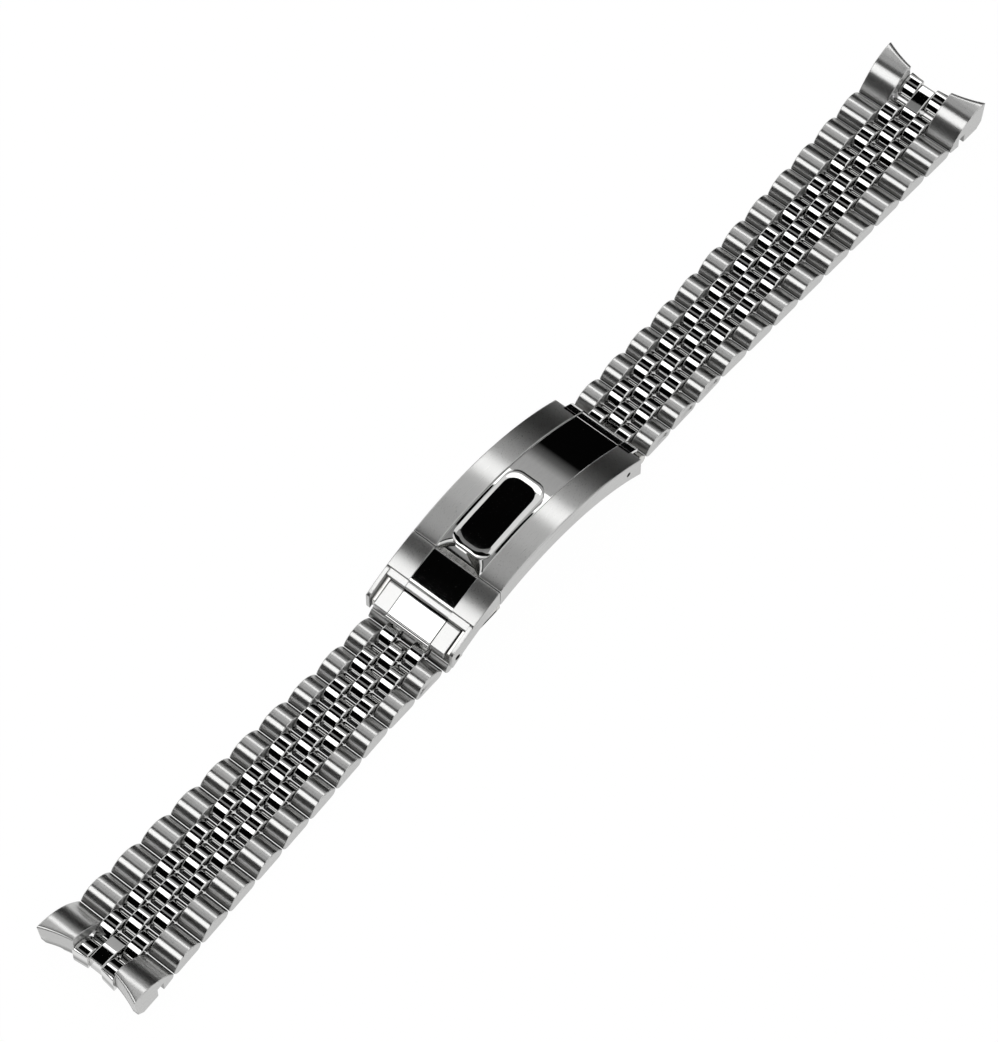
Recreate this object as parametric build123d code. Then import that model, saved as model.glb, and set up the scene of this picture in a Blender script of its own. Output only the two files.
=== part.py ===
from build123d import *
import os
from math import asin, cos, degrees, pi, radians, sin, sqrt

# Link watch bracelet, laid open with its top side up.
# Millimetres. +X runs along the bracelet towards the long strand, +Y to its left, +Z up.
# The clasp is closed and arched, and both strands lie flat on z = 0.

os.makedirs("parts", exist_ok=True)

# Counts
long_links = 12
short_links = 10
long_tapered_links = 9
short_tapered_links = 8
sized_links = 3
rod_sides = 6

# Strand
pitch = 6.6
lug_width = 20.0
clasp_link_width = 15.1
link_height = 3.15
crown_radius = 4.0
pin_height = 1.5
end_radius = 1.6
bead_width = 2.7
centre_width = 2.7
column_gap = 0.08
pin_radius = 0.5
pin_turn_clearance = 0.04
pin_seat_clearance = 0.01
pin_wall = 0.8
screw_recess = 0.12
# Angles of the corners round a link end, seen from its pin, and the places of the crown corners
end_corner_angles = (-32, 12)
crown_corner_shares = (0.34, 0.17)

# End links
end_link_length = 9.0
case_radius = 23.0
horn_height = 6.2
foot_start = 3.8
foot_end = 7.3
arch_start = 2.5
arch_top = 2.1
groove_depth = 0.6
roll_end_share = 0.5
groove_width = 0.5
ramp_bulge = 0.6
spring_bar_radius = 0.9
spring_bar_inset = 5.5
spring_bar_height = 1.75
fixed_bead_gap = 0.18
fixed_bead_rise = 0.75
fixed_bead_reach = 0.5
case_side_height = 1.2
case_side_setback = 0.5

# Clasp cover
clasp_width = 17.9
arch_radius = 48.0
lip_height = 4.35
arch_offset = -1.6
cover_thickness = 1.1
cover_end_thickness = 0.9
cover_length = 35.5
cover_lip_length = 1.9
cover_lip_width = 13.7
lip_gap = 1.2
cover_wall = 1.0
cover_wall_depth = 3.9
strip_width = 8.8
strip_recess = 0.25
shield_length = 16.2
shield_width = 7.2
shield_rise = 0.75
shield_bevel = 0.55
shield_corner = 1.8
shield_offset = 2.0
scoop_radius = 4.6
scoop_setback = 1.6
scoop_depth = 0.5
bulkhead_thickness = 0.9
latch_spring_thickness = 0.3
latch_spring_width = 6.0

# Folding leaves
leaf_gap = 0.2
upper_leaf_thickness = 0.9
lower_leaf_thickness = 1.0
leaf_width = 14.4
knuckle_radius = 0.9
hinge_pin_radius = 0.45
hinge_pin_clearance = 0.03
cover_hinge_setback = 3.3
cover_hinge_clearance = 0.15
leaf_hinge_setback = 2.4
leaf_knuckle_width = 7.0
knuckle_side_gap = 0.1
knuckle_room = 0.35
leaf_window_length = 12.0
leaf_window_width = 6.0
leaf_dip_length = 1.6
leaf_dip_setback = 0.5

# Safety catch and extension slide
seam_gap = 0.12
catch_length = 7.5
catch_lip_length = 1.1
catch_lip_recess = 0.3
catch_thickness = 0.9
catch_arm_thickness = 0.8
catch_arm_depth = 3.0
catch_arm_reach = 1.25
catch_bay_length = 12.6
catch_hinge_setback = 2.0
catch_hinge_depth = 1.9
catch_pin_radius = 0.55
catch_side_gap = 0.1
tray_wall = 0.7
tray_floor_thickness = 0.7
tray_wall_reach = 1.1
slide_bottom = 4.2
slide_top_depth = 0.6
slide_end_setback = 1.9
slide_overhang = 0.5
slide_bar_radius = 0.55
slide_gap = 0.15
slide_root_length = 1.0
slide_lug_width = 16.0
tray_end_gap = 0.25

# Values worked out from the sizes above
pin_offset = pitch / 4
bead_inner = centre_width / 2 + column_gap
bead_outer = bead_inner + bead_width
block_inner = bead_outer + column_gap
clasp_length = lip_gap + cover_lip_length + cover_length + catch_bay_length
overall_length = 2 * end_link_length + (long_links + short_links) * pitch + clasp_length
long_end = overall_length / 2 - end_link_length
short_end = -long_end
long_start = long_end - long_links * pitch
short_start = short_end + short_links * pitch
cover_end = long_start - lip_gap - cover_lip_length
seam = cover_end - cover_length
arch_middle = (long_start + short_start) / 2 + arch_offset
cover_hinge_x = cover_end - cover_hinge_setback
leaf_hinge_x = seam + leaf_hinge_setback
catch_hinge_x = short_start + catch_hinge_setback
slide_inner_end = seam - slide_end_setback
clasp_half = clasp_width / 2
lip_distance = cover_end + cover_lip_length - arch_middle
arch_centre_height = lip_height - sqrt(arch_radius ** 2 - lip_distance ** 2)
arch_height = arch_centre_height + arch_radius
lug_pin_x = long_start - pin_offset
slide_pin_x = short_start + pin_offset


def half_width(distance, tapered_links):
    """Half the strand's width at a distance from its case end, from the straight taper."""
    taper_length = end_link_length + tapered_links * pitch
    share = min(distance / taper_length, 1)
    return lug_width / 2 + share * (clasp_link_width - lug_width) / 2


def side_prism(outline, y_low, y_high):
    """A prism across the bracelet from its outline of (x, z) points."""
    face = make_face(Polyline([(x, y_low, z) for x, z in outline], close=True))
    return extrude(face, amount=y_high - y_low, dir=(0, 1, 0))


def across_rod(x, z, radius, y_low, y_high):
    """A faceted rod across the bracelet, its corners on the radius."""
    turn = 2 * pi / rod_sides
    outline = [(x + radius * cos(turn * (i + 0.5)), z + radius * sin(turn * (i + 0.5)))
               for i in range(rod_sides)]
    return side_prism(outline, y_low, y_high)


def across_bore(x, z, radius, y_low, y_high):
    """A faceted bore whose flats stand at the radius, so that a rod of that radius turns in it."""
    return across_rod(x, z, radius / cos(pi / rod_sides), y_low, y_high)


def round_bar(x, z, radius, y_low, y_high):
    """A true cylinder across the bracelet."""
    bar = Cylinder(radius, y_high - y_low, rotation=(90, 0, 0))
    return Pos(x, (y_low + y_high) / 2, z) * bar


def end_corners(x, direction):
    """Corners of a link end, from its foot up to its shoulder, round the pin at x."""
    foot_angle = -degrees(asin(pin_height / end_radius))
    angles = (foot_angle,) + end_corner_angles
    return [(x + direction * end_radius * cos(radians(a)), pin_height + end_radius * sin(radians(a)))
            for a in angles]


def crown_z(distance):
    """Height of a link's rounded crown at a distance from the link's middle."""
    return link_height - crown_radius + sqrt(crown_radius ** 2 - distance ** 2)


def crown_corners(x, direction):
    """Corners of the crown, from the link's shoulder to its middle at x."""
    return [(x + direction * share * pitch, crown_z(share * pitch)) for share in crown_corner_shares]


def half_outline(x, direction):
    """Corners of one half of a link piece, from its foot to its crown."""
    return end_corners(x + direction * pin_offset, direction) + crown_corners(x, direction)


def link_outline(x):
    """Side view of a link piece: flat foot, ends round the two pins, rounded crown."""
    return half_outline(x, 1) + half_outline(x, -1)[::-1]


def cut_taper(block, x_low, x_high, half_low, half_high):
    """Cuts a block on the left of the bracelet back to the strand's tapered side."""
    along = Vector(x_high - x_low, half_high - half_low, 0)
    plane = Plane(origin=(x_low, half_low, 0), x_dir=along, z_dir=(-along.Y, along.X, 0))
    return split(block, plane, keep=Keep.BOTTOM)


def outer_block(x, halves, bored_through):
    """The brushed outer piece of a link, on the left side, with its two pin bores."""
    half_low, half_high = halves
    widest = max(halves)
    block = side_prism(link_outline(x), block_inner, widest + column_gap)
    block = cut_taper(block, x - pitch / 2, x + pitch / 2, half_low, half_high)
    for place in (-1, 1):
        pin_x = x + place * pin_offset
        depth = widest + column_gap if place == bored_through else min(halves) - pin_wall
        block -= across_rod(pin_x, pin_height, pin_radius + pin_seat_clearance, block_inner, depth)
    return block


def link_piece(x, y_low, y_high, bore_clearance):
    """An inner piece of a link, bored for two pins."""
    piece = side_prism(link_outline(x), y_low, y_high)
    cutter = across_bore if bore_clearance == pin_turn_clearance else across_rod
    for place in (-1, 1):
        piece -= cutter(x + place * pin_offset, pin_height, pin_radius + bore_clearance, y_low, y_high)
    return piece


def link_pieces(x, halves, screw_side):
    """A whole link: two outer blocks, a centre piece and two pins, one a screw on sized links."""
    left = outer_block(x, halves, 0)
    right = mirror(outer_block(x, halves, screw_side), Plane.XZ)
    centre = link_piece(x, -centre_width / 2, centre_width / 2, pin_seat_clearance)
    pieces = [left, centre, right]
    reach = min(halves) - pin_wall
    for place in (-1, 1):
        low = -(min(halves) - screw_recess) if place == screw_side else -reach
        pieces.append(across_rod(x + place * pin_offset, pin_height, pin_radius, low, reach))
    return Compound(children=pieces)


def bead_pair(x):
    """The two polished beads that join a link to the next."""
    left = link_piece(x, bead_inner, bead_outer, pin_turn_clearance)
    return Compound(children=[left, mirror(left, Plane.XZ)])


def strand_halves(x, case_end, tapered_links):
    """Half widths at both ends of the link at x."""
    return tuple(half_width(abs(case_end - (x + place * pitch / 2)), tapered_links)
                 for place in (-1, 1))


def build_strand(name, start, direction, count, tapered_links):
    """Links and bead pairs of a strand, numbered from the case end, as on the bracelet."""
    case_end = start + direction * (count * pitch + end_link_length)
    for number in range(1, count + 1):
        x = start + direction * (count - number + 0.5) * pitch
        sized = number > count - sized_links if name == "long" else number == count
        halves = strand_halves(x, case_end, tapered_links)
        nodes[f"{name}_link_{number:02d}"] = link_pieces(x, halves, direction if sized else 0)
    for number in range(1, count + 2):
        x = start + direction * (count - number + 1) * pitch
        nodes[f"{name}_beads_{number:02d}"] = bead_pair(x)


def horn_face():
    """Side view of an end link's horn, from the strand outwards: roll, groove, ramp, foot."""
    roll = half_outline(pitch / 2, -1)
    groove = roll_end_share * pitch
    ramp_start = (groove + groove_width, link_height - groove_depth)
    tip = (end_link_length, horn_height)
    ramp_middle = ((ramp_start[0] + tip[0]) / 2, (ramp_start[1] + tip[1]) / 2 + ramp_bulge)
    case_side = (end_link_length - case_side_setback, case_side_height)
    outline = Polyline(
        [tip, case_side, (foot_end, 0), (foot_start, 0), (foot_start, arch_top),
         (arch_start, arch_top), (arch_start, 0)] + roll
        + [(groove, link_height - groove_depth), ramp_start])
    ramp = ThreePointArc(ramp_start, ramp_middle, tip)
    return make_face(Plane.XZ * (outline + ramp))


def core_outline():
    """Side view of an end link's middle: the tongue that the first bead pair hangs on."""
    tongue = half_outline(pitch / 2, -1)
    top = link_height + fixed_bead_rise / 2
    return [(end_link_length, 0), (end_link_length, top), (end_link_length / 2, top)] + tongue[::-1]


def fixed_bead_outline():
    """Side view of the bead forms that stand in the end link's case side."""
    start = pin_offset + end_radius + fixed_bead_gap
    top = link_height + fixed_bead_rise
    shoulder = start + fixed_bead_rise
    return [(start, 0), (start, pin_height + fixed_bead_rise), (shoulder, top),
            (end_link_length, top), (end_link_length, 0)]


def case_cutter(radius):
    """The watch case's flank, which hollows the end link's outer edge."""
    reach = sqrt(case_radius ** 2 - (lug_width / 2) ** 2)
    tall = horn_height * 4
    return Pos(end_link_length + reach, 0, 0) * Cylinder(radius, tall)


def end_link():
    """A solid end link, in its own frame: strand at x = 0, watch case towards +X."""
    half = lug_width / 2
    horn = extrude(Pos(0, block_inner, 0) * horn_face(), amount=half - block_inner, dir=(0, 1, 0))
    joint_half = half_width(end_link_length, long_tapered_links)
    horn = cut_taper(horn, 0, end_link_length, joint_half, half)
    horn -= across_rod(pin_offset, pin_height, pin_radius + pin_seat_clearance,
                       block_inner, joint_half - pin_wall)
    middle = side_prism(core_outline(), -centre_width / 2, centre_width / 2)
    middle -= across_rod(pin_offset, pin_height, pin_radius + pin_seat_clearance,
                         -centre_width / 2, centre_width / 2)
    beads = side_prism(fixed_bead_outline(), centre_width / 2, block_inner)
    foot = side_prism([(foot_end, 0), (end_link_length - case_side_setback, case_side_height),
                       (end_link_length, horn_height), (0, horn_height), (0, 0)],
                      -block_inner, block_inner)
    middle = (middle & foot) - case_cutter(case_radius)
    beads = (beads & foot) - case_cutter(case_radius - fixed_bead_reach)
    horn -= case_cutter(case_radius)
    body = middle + horn + mirror(horn, Plane.XZ) + beads + mirror(beads, Plane.XZ)
    return body - round_bar(spring_bar_inset, spring_bar_height, spring_bar_radius,
                            -lug_width, lug_width)


def end_link_pin():
    """The hidden pin that the first bead pair turns on."""
    reach = half_width(end_link_length, long_tapered_links) - pin_wall
    return across_rod(pin_offset, pin_height, pin_radius, -reach, reach)


def build_end_links():
    """Both end links, each with its pin."""
    pieces = [end_link(), end_link_pin()]
    nodes["long_end_link"] = Compound(children=[Pos(long_end, 0, 0) * p for p in pieces])
    nodes["short_end_link"] = Compound(children=[Pos(short_end, 0, 0) * Rot(0, 0, 180) * p
                                                 for p in pieces])


def arch_z(depth, x):
    """Height of the arched line that lies a depth under the cover's top, at x."""
    radius = arch_radius - depth
    return arch_centre_height + sqrt(radius ** 2 - (x - arch_middle) ** 2)


def arch_point(depth, x):
    """Point of that line."""
    return (x, arch_z(depth, x))


def arch_line(depth, x_from, x_to):
    """That line from one place to another, as an arc."""
    middle = (x_from + x_to) / 2
    return ThreePointArc(arch_point(depth, x_from), arch_point(depth, middle), arch_point(depth, x_to))


def arch_band(top, bottom, x_low, x_high, y_low, y_high):
    """A curved plate between two depths under the cover's top."""
    outline = (arch_line(top, x_low, x_high)
               + Line(arch_point(top, x_high), arch_point(bottom, x_high))
               + arch_line(bottom, x_high, x_low)
               + Line(arch_point(bottom, x_low), arch_point(top, x_low)))
    face = Pos(0, y_low, 0) * make_face(Plane.XZ * outline)
    return extrude(face, amount=y_high - y_low, dir=(0, 1, 0))


def both_sides(solid):
    """A piece and its twin across the bracelet's middle."""
    return solid + mirror(solid, Plane.XZ)


def shield():
    """The raised, bevelled panel on the cover."""
    x_low = seam + shield_offset
    x_high = x_low + shield_length
    blank = arch_band(strip_recess - shield_rise, strip_recess + cover_thickness / 2,
                      x_low, x_high, -shield_width / 2, shield_width / 2)
    outer = Pos((x_low + x_high) / 2, 0, 0) * extrude(
        RectangleRounded(shield_length, shield_width, shield_corner), amount=arch_radius)
    return chamfer((blank & outer).faces().sort_by(Axis.Z)[-1].outer_wire().edges(), shield_bevel)


def clasp_cover():
    """The arched cover: rails, polished strip, shield, side walls, and the tray under the catch."""
    inner_half = clasp_half - cover_wall
    cover = arch_band(0, cover_thickness, seam, cover_end, -clasp_half, clasp_half)
    cover += both_sides(arch_band(cover_thickness / 2, cover_wall_depth, seam, cover_end,
                                  inner_half, clasp_half))
    lip_half = cover_lip_width / 2
    cover += arch_band(0, cover_end_thickness, cover_end - cover_lip_length,
                       cover_end + cover_lip_length, -lip_half, lip_half)
    cover -= arch_band(-strip_recess, strip_recess, seam - cover_wall,
                       cover_end + 2 * cover_lip_length, -strip_width / 2, strip_width / 2)
    cover += shield()
    scoop = arch_band(-shield_rise, strip_recess + scoop_depth, seam - cover_wall,
                      seam + scoop_radius, -scoop_radius, scoop_radius)
    cover -= scoop & (Pos(seam - scoop_setback, 0, 0) * Cylinder(scoop_radius, arch_radius))
    cover -= round_bar(cover_hinge_x, cover_hinge_z, hinge_pin_radius + pin_seat_clearance,
                       -clasp_half, clasp_half)
    return cover + tray()


def tray():
    """The part of the cover under the catch: bulkhead, floor and low walls round the slide."""
    outer = clasp_half - catch_arm_thickness - catch_side_gap
    floor_top = slide_bottom - slide_gap
    floor_bottom = floor_top - tray_floor_thickness
    tray_end = short_start + pin_offset + end_radius + slide_root_length + tray_end_gap
    bulkhead = side_prism([(seam, floor_bottom), (seam + bulkhead_thickness, floor_bottom),
                           (seam + bulkhead_thickness, arch_z(cover_thickness / 2, seam)),
                           (seam, arch_z(cover_thickness / 2, seam))], -outer, outer)
    floor = side_prism([(tray_end, floor_bottom), (seam, floor_bottom), (seam, floor_top),
                        (tray_end, floor_top)], -outer, outer)
    wall_end = short_start + tray_wall_reach
    wall_top = catch_thickness + slide_gap
    wall = side_prism([(wall_end, floor_bottom), (seam, floor_bottom), arch_point(wall_top, seam),
                       arch_point(wall_top, wall_end)], outer - tray_wall, outer)
    pin_hole = round_bar(catch_hinge_x, catch_hinge_z, catch_pin_radius + pin_seat_clearance,
                         outer - tray_wall, outer)
    return bulkhead + floor + both_sides(wall) - both_sides(pin_hole)


def safety_catch():
    """The flip-over catch: an arched panel on two arms that turn on the tray's pins."""
    x_high = seam - seam_gap
    x_low = x_high - catch_length
    panel = arch_band(0, catch_thickness, x_low, x_high, -clasp_half, clasp_half)
    panel -= arch_band(-strip_recess, strip_recess, x_low - catch_thickness,
                       x_high + catch_thickness, -strip_width / 2, strip_width / 2)
    arm_inner = clasp_half - catch_arm_thickness
    panel -= arch_band(-strip_recess, catch_lip_recess, x_low - catch_thickness,
                       x_low + catch_lip_length, -arm_inner, arm_inner)
    arm = arch_band(0, catch_arm_depth, catch_hinge_x - catch_arm_reach, x_high, arm_inner, clasp_half)
    arm -= round_bar(catch_hinge_x, catch_hinge_z, catch_pin_radius + hinge_pin_clearance,
                     arm_inner, clasp_half)
    return panel + both_sides(arm)


def strand_lug(pin_x, direction, half, root_x, root_low, root_high):
    """Lugs that carry a strand's first bead pair, on a root that joins them."""
    corners = half_outline(pin_x - direction * pin_offset, direction)
    outline = corners + [(root_x, root_high), (root_x, root_low)]
    lug = both_sides(side_prism(outline, block_inner, half))
    lug += side_prism(outline, -centre_width / 2, centre_width / 2)
    reach = half - pin_wall
    return lug - across_rod(pin_x, pin_height, pin_radius + pin_seat_clearance, -reach, reach)


def lug_pin(pin_x):
    """The pin of such lugs."""
    reach = clasp_link_width / 2 - pin_wall
    return across_rod(pin_x, pin_height, pin_radius, -reach, reach)


def extension_slide():
    """The block that slides out from under the catch and carries the short strand."""
    plate_half = clasp_half - catch_arm_thickness - catch_side_gap - tray_wall - slide_gap
    root_end = short_start + pin_offset + end_radius + column_gap
    root_low = pin_height / 2
    shelf_end = seam - seam_gap - catch_length
    shelf_z = arch_z(catch_thickness, shelf_end) - slide_gap
    outer_end = short_start + slide_overhang
    plate = side_prism([(outer_end, slide_bottom), (slide_inner_end, slide_bottom),
                        (slide_inner_end, shelf_z), (shelf_end, shelf_z),
                        (outer_end, arch_z(slide_top_depth, outer_end))], -plate_half, plate_half)
    plate += round_bar(outer_end, slide_bottom + slide_bar_radius, slide_bar_radius,
                       -strip_width / 2, strip_width / 2)
    root = side_prism([(root_end, root_low), (root_end + slide_root_length, root_low),
                       (root_end + slide_root_length, slide_bottom),
                       (root_end, slide_bottom)], -plate_half, plate_half)
    lug = strand_lug(slide_pin_x, -1, slide_lug_width / 2, root_end, root_low, link_height)
    return plate + root + lug


def upper_leaf():
    """The leaf under the cover, hinged to it near the long strand."""
    top = cover_thickness + leaf_gap
    bottom = top + upper_leaf_thickness
    half = leaf_width / 2
    room = knuckle_radius + knuckle_room
    leaf = arch_band(top, bottom, leaf_hinge_x, cover_hinge_x, -half, half)
    leaf -= both_sides(side_prism(
        [(leaf_hinge_x - room, 0), (leaf_hinge_x + room, 0), (leaf_hinge_x + room, arch_height),
         (leaf_hinge_x - room, arch_height)], leaf_knuckle_width / 2 - knuckle_side_gap, clasp_half))
    window_x = (leaf_hinge_x + cover_hinge_x) / 2
    window = extrude(Rectangle(leaf_window_length, leaf_window_width), amount=arch_height)
    leaf -= Pos(window_x, 0, 0) * window
    leaf += round_bar(cover_hinge_x, cover_hinge_z, knuckle_radius, -half, half)
    tongue = leaf_knuckle_width / 2 - knuckle_side_gap
    leaf += round_bar(leaf_hinge_x, leaf_hinge_z, knuckle_radius, -tongue, tongue)
    leaf -= round_bar(cover_hinge_x, cover_hinge_z, hinge_pin_radius + hinge_pin_clearance, -half, half)
    return leaf - round_bar(leaf_hinge_x, leaf_hinge_z, hinge_pin_radius + hinge_pin_clearance,
                            -tongue, tongue)


def lower_leaf():
    """The leaf nearest the wrist, which carries the long strand."""
    top = cover_thickness + leaf_gap + upper_leaf_thickness + leaf_gap
    bottom = top + lower_leaf_thickness
    half = leaf_width / 2
    room = knuckle_radius + knuckle_room
    dip_x = cover_hinge_x - knuckle_radius - leaf_dip_length
    root_x = lug_pin_x - end_radius - column_gap
    dip_top = cover_hinge_z - knuckle_radius - leaf_gap
    leaf = arch_band(top, bottom, leaf_hinge_x, dip_x, -half, half)
    dip_end = cover_hinge_x - knuckle_radius
    leaf += side_prism([arch_point(bottom, dip_x), (dip_end - leaf_dip_setback,
                        dip_top - lower_leaf_thickness), (root_x, dip_top - lower_leaf_thickness),
                        (root_x, dip_top), (dip_end, dip_top), arch_point(top, dip_x)], -half, half)
    leaf -= side_prism([(leaf_hinge_x - room, 0), (leaf_hinge_x + room, 0),
                        (leaf_hinge_x + room, arch_height), (leaf_hinge_x - room, arch_height)],
                       -leaf_knuckle_width / 2, leaf_knuckle_width / 2)
    window_x = (leaf_hinge_x + cover_hinge_x) / 2
    leaf -= Pos(window_x, 0, 0) * extrude(Rectangle(leaf_window_length, leaf_window_width),
                                          amount=arch_height)
    leaf += both_sides(round_bar(leaf_hinge_x, leaf_hinge_z, knuckle_radius,
                                 leaf_knuckle_width / 2, half))
    leaf += strand_lug(lug_pin_x, 1, clasp_link_width / 2, root_x, dip_top - lower_leaf_thickness,
                       dip_top)
    return leaf - round_bar(leaf_hinge_x, leaf_hinge_z, hinge_pin_radius + pin_seat_clearance,
                            -half, half)


def latch_spring():
    """The flat spring on the bulkhead that bears on the leaves' hinge when the clasp is shut."""
    face = seam + bulkhead_thickness
    half = latch_spring_width / 2
    return side_prism([(face, leaf_hinge_z - knuckle_radius), (face + latch_spring_thickness,
                       leaf_hinge_z - knuckle_radius), (face + latch_spring_thickness, leaf_hinge_z),
                       (face, leaf_hinge_z)], -half, half)


cover_hinge_z = arch_z(cover_thickness, cover_hinge_x) - cover_hinge_clearance - knuckle_radius
leaf_hinge_z = arch_z(cover_thickness, leaf_hinge_x) - cover_hinge_clearance - knuckle_radius
catch_hinge_z = arch_z(catch_hinge_depth, catch_hinge_x)


def build_clasp():
    """The clasp: cover, catch, slide, two leaves and their pins."""
    catch_outer = clasp_half
    catch_inner = clasp_half - catch_arm_thickness - catch_side_gap - tray_wall
    nodes["clasp_cover"] = clasp_cover()
    nodes["safety_catch"] = safety_catch()
    nodes["extension_slide"] = extension_slide()
    nodes["upper_leaf"] = upper_leaf()
    nodes["lower_leaf"] = lower_leaf()
    nodes["cover_hinge_pin"] = round_bar(cover_hinge_x, cover_hinge_z, hinge_pin_radius,
                                         -clasp_half, clasp_half)
    nodes["leaf_hinge_pin"] = round_bar(leaf_hinge_x, leaf_hinge_z, hinge_pin_radius,
                                        -leaf_width / 2, leaf_width / 2)
    stub = round_bar(catch_hinge_x, catch_hinge_z, catch_pin_radius, catch_inner, catch_outer)
    nodes["catch_hinge_pins"] = Compound(children=[stub, mirror(stub, Plane.XZ)])
    nodes["latch_spring"] = latch_spring()
    nodes["lower_leaf_lug_pin"] = lug_pin(lug_pin_x)
    nodes["slide_lug_pin"] = lug_pin(slide_pin_x)


nodes = {}
build_clasp()
build_strand("long", long_start, 1, long_links, long_tapered_links)
build_strand("short", short_start, -1, short_links, short_tapered_links)
build_end_links()
for name, shape in nodes.items():
    export_step(shape, f"parts/{name}.step")
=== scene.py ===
"""Looks of a link watch bracelet: steel links, end links and an arched folding clasp.

Every size is in millimetres in the part's own frame and is turned to metres when a mesh is made.
+X runs along the bracelet towards the long strand, +Y to its left, +Z up.
"""

import logging
import math
from collections.abc import Callable, Sequence
from dataclasses import dataclass, field
from enum import Enum

import bmesh
import bpy
import numpy as np
from mathutils import Matrix, Vector

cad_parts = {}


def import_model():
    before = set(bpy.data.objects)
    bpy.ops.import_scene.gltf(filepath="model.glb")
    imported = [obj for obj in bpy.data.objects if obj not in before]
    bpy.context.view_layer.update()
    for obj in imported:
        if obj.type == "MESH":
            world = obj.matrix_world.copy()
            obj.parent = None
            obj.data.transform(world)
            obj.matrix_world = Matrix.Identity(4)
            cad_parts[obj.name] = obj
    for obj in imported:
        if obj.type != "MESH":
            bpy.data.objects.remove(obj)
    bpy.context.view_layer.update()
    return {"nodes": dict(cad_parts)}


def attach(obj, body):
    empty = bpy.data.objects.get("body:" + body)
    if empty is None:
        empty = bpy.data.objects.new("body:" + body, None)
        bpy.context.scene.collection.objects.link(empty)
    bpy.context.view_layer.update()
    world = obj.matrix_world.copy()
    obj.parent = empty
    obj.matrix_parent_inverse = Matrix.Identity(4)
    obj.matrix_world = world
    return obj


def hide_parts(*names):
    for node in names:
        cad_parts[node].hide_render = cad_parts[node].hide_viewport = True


MM = 0.001
MERGE = 1e-7  # metres within which two points of a mesh are one
BLACK = "#050505"
LOG = logging.getLogger("bracelet")
Span = float | Callable[[np.ndarray], np.ndarray]


class Slot(Enum):
    """Material slots of the part's record."""

    BRUSHED = "brushed_steel"
    POLISHED = "polished_steel"
    PIN = "pin_steel"


class Grain(Enum):
    """Direction of a surface's lines, a little off the axis so that no face lies square to it."""

    ALONG = (1.0, 0.03, 0.02)
    ACROSS = (0.03, 1.0, 0.02)


# ---------------------------------------------------------------- shapes as arrays


@dataclass
class Shell:
    """A surface as arrays of points (mm) and faces."""

    points: np.ndarray
    faces: list[list[int]]

    def mirrored(self) -> "Shell":
        """The shell's twin across the bracelet's middle."""
        return Shell(self.points * (1, -1, 1), [face[::-1] for face in self.faces])


def joined(shells: Sequence[Shell]) -> Shell:
    """Puts several shells into one.

    Args:
        shells: the shells, in order.

    Returns:
        One shell that holds all their points and faces.
    """
    starts = np.cumsum([0] + [len(shell.points) for shell in shells])
    faces = [[int(start) + corner for corner in face]
             for shell, start in zip(shells, starts) for face in shell.faces]
    return Shell(np.concatenate([shell.points for shell in shells]), faces)


def both_sides(*shells: Shell) -> list[Shell]:
    """The shells and their twins across the bracelet's middle."""
    return [*shells, *(shell.mirrored() for shell in shells)]


def paired(*columns: np.ndarray | Sequence[float] | float) -> np.ndarray:
    """Points from their coordinates, each an array or one number for all of them."""
    return np.stack(np.broadcast_arrays(*columns), -1)


def loft(rings: np.ndarray, ring_path: bool = False) -> Shell:
    """Joins closed rings of points with quads, and closes both ends with a flat face.

    Args:
        rings: points as an array (rings, points in a ring, 3).
        ring_path: True joins the last ring to the first, and adds no end faces.

    Returns:
        The closed shell.
    """
    count, size = rings.shape[:2]
    ring = np.arange(count if ring_path else count - 1)[:, None]
    corner = np.arange(size)[None, :]
    after, beside = (ring + 1) % count, (corner + 1) % size
    quads = np.stack([ring * size + corner, ring * size + beside,
                      after * size + beside, after * size + corner], -1)
    faces = quads.reshape(-1, 4).tolist()
    if not ring_path:
        faces += [np.arange(size)[::-1].tolist(), ((count - 1) * size + np.arange(size)).tolist()]
    return Shell(rings.reshape(-1, 3), faces)


def counter_clockwise(outline: np.ndarray) -> np.ndarray:
    """The outline turned so that its inside is on the left of its path."""
    ahead = np.roll(outline, -1, 0)
    area = np.sum(outline[:, 0] * ahead[:, 1] - ahead[:, 0] * outline[:, 1])
    return outline if area > 0 else outline[::-1]


def rounded(corners: Sequence[tuple[float, float]], radius: float | Sequence[float],
            steps: int = 4) -> np.ndarray:
    """Rounds the corners of a closed outline.

    Each corner C becomes the curve (1-s)^2 A + 2 s (1-s) C + s^2 B, where A and B lie on its two
    sides, a radius away or just under half a side away.

    Args:
        corners: the outline's corners.
        radius: how far from each corner its curve starts.
        steps: steps in each curve.

    Returns:
        The outline's points, inside on the left.
    """
    points = np.asarray(corners, float)
    before, after = np.roll(points, 1, 0) - points, np.roll(points, -1, 0) - points
    length_before = np.linalg.norm(before, axis=1)
    length_after = np.linalg.norm(after, axis=1)
    cut = np.minimum(np.broadcast_to(radius, len(points)),
                     0.46 * np.minimum(length_before, length_after))
    start = points + before * (cut / length_before)[:, None]
    end = points + after * (cut / length_after)[:, None]
    share = np.linspace(0, 1, steps + 1)[None, :, None]
    curve = ((1 - share) ** 2 * start[:, None] + 2 * share * (1 - share) * points[:, None]
             + share ** 2 * end[:, None])
    return counter_clockwise(curve.reshape(-1, 2))


def slab(low: float, high: float, top: float, bottom: float, radius: float | Sequence[float],
         steps: int = 4) -> np.ndarray:
    """A rectangle's rounded outline, from low to high and from top to bottom."""
    return rounded([(low, top), (high, top), (high, bottom), (low, bottom)], radius, steps)


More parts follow.
